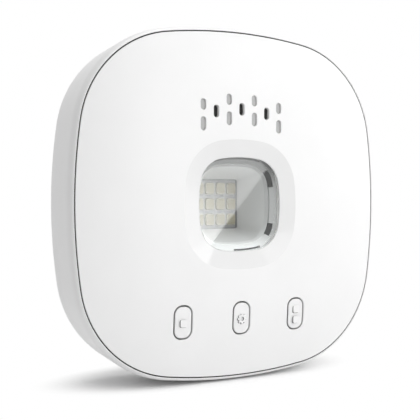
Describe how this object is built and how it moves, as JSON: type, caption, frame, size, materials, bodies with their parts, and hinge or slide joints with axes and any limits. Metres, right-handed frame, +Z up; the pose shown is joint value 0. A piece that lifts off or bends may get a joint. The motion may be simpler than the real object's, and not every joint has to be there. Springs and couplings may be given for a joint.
{
  "type": "garage door controller",
  "caption": "Rounded-square garage door controller hub with a dished signal window, sounder grille and pill buttons, sliding onto a screw-fixed wall bracket.",
  "frame": {"origin": "centre of the bracket's wall face", "axes": "+Z up, +X to the right seen from the front, the face looks along -Y and the wall face along +Y"},
  "size_m": [0.1194, 0.0322, 0.1194],
  "materials": {
    "white_shell": "satin white moulded plastic",
    "seal_rubber": "matt dark rubber",
    "clear_lens": "clear polished plastic",
    "reflector_grey": "satin light grey plastic",
    "light_board": "pale solder mask on a metal core",
    "emitter": "cream phosphor in a white frame",
    "grille_grey": "grey moulded plastic",
    "black_mesh": "black acoustic cloth",
    "circuit_board": "green solder mask",
    "chip_black": "black moulding compound",
    "shield_steel": "tinned sheet steel",
    "screw_steel": "zinc plated",
    "capacitor_sleeve": "sleeved aluminium can",
    "antenna_brass": "plated spring brass",
    "bracket_grey": "light grey moulded plastic"
  },
  "bodies": {
    "bracket": {"wall_bracket": "bracket_grey"},
    "hub": {"front_cover": "white_shell", "rear_housing": "white_shell", "seam_seal": "seal_rubber", "window_lens": "clear_lens", "light_reflector": "reflector_grey", "led_board": "light_board", "led_emitters": "emitter", "led_board_screws": "screw_steel", "switch_bodies": "chip_black", "main_board": "circuit_board", "wifi_module": "shield_steel", "processor_chip": "chip_black", "door_radio": "shield_steel", "door_radio_antenna": "antenna_brass", "capacitors": "capacitor_sleeve", "power_coil": "chip_black", "grille_insert": "grille_grey", "sound_mesh": "black_mesh", "sounder_housing": "chip_black", "sounder_disc": "antenna_brass", "power_inlet": "chip_black", "board_screws": "screw_steel", "case_screws": "screw_steel"},
    "left_key": {"left_button": "white_shell", "left_switch_plunger": "chip_black"},
    "centre_key": {"centre_button": "white_shell", "centre_switch_plunger": "chip_black"},
    "right_key": {"right_button": "white_shell", "right_switch_plunger": "chip_black"}
  },
  "joints": [
    {"name": "hub_slide", "type": "slide", "parent": "bracket", "child": "hub", "axis": [0, 0, 1], "range_m": [0, 0.014]},
    {"name": "left_press", "type": "slide", "parent": "hub", "child": "left_key", "axis": [0, 1, 0], "range_m": [0, 0.0007], "stiffness_N_per_m": 1500, "springref_m": -0.0003},
    {"name": "centre_press", "type": "slide", "parent": "hub", "child": "centre_key", "axis": [0, 1, 0], "range_m": [0, 0.0007], "stiffness_N_per_m": 1500, "springref_m": -0.0003},
    {"name": "right_press", "type": "slide", "parent": "hub", "child": "right_key", "axis": [0, 1, 0], "range_m": [0, 0.0007], "stiffness_N_per_m": 1500, "springref_m": -0.0003}
  ]
}
